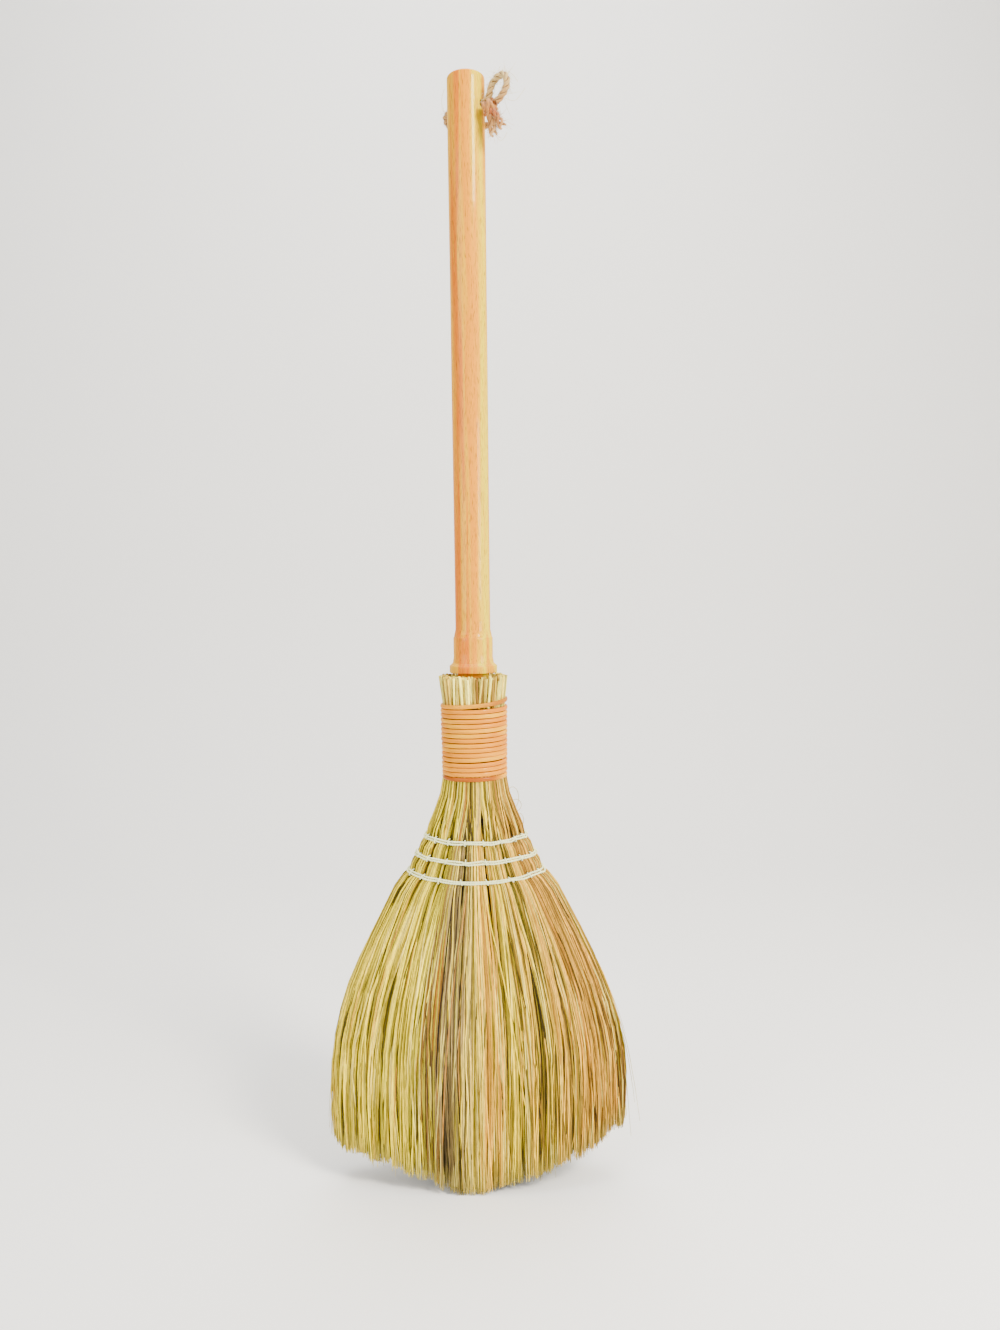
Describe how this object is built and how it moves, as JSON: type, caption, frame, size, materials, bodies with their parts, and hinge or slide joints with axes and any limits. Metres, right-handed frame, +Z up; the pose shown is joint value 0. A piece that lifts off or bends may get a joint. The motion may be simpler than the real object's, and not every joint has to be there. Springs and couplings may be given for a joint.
{
  "type": "straw broom",
  "caption": "Short fan-shaped straw broom with a turned wooden handle, cane binding, twine rows and a jute hanging loop.",
  "frame": {"origin": "on the floor under the middle of the fan, at its lowest tips", "axes": "+Z up along the handle, +X across the fan to the right as seen from the front, the front of the fan faces -Y"},
  "size_m": [0.2452, 0.0658, 0.885],
  "materials": {
    "handle_wood": "lacquered",
    "straw": "dry straw",
    "cane": "glossy split cane",
    "twine": "cotton twine",
    "jute": "jute cord"
  },
  "bodies": {
    "broom": {"handle": "handle_wood", "tuft_01": "straw", "tuft_02": "straw", "tuft_03": "straw", "tuft_04": "straw", "tuft_05": "straw", "tuft_06": "straw", "tuft_07": "straw", "tuft_08": "straw", "tuft_09": "straw", "tuft_10": "straw", "tuft_11": "straw", "tuft_12": "straw", "tuft_13": "straw", "tuft_14": "straw", "tuft_15": "straw", "tuft_16": "straw", "tuft_17": "straw", "tuft_18": "straw", "cane_binding": "cane", "low_twine_row": "twine", "middle_twine_row": "twine", "top_twine_row": "twine"},
    "hang_loop": {"hang_cord": "jute", "cord_knot": "jute"}
  },
  "joints": [
    {"name": "loop_swing", "type": "hinge", "parent": "broom", "child": "hang_loop", "pos_m": [0, 0, 0.8616], "axis": [0.866, -0.5, 0], "range_deg": [0, 45]}
  ]
}
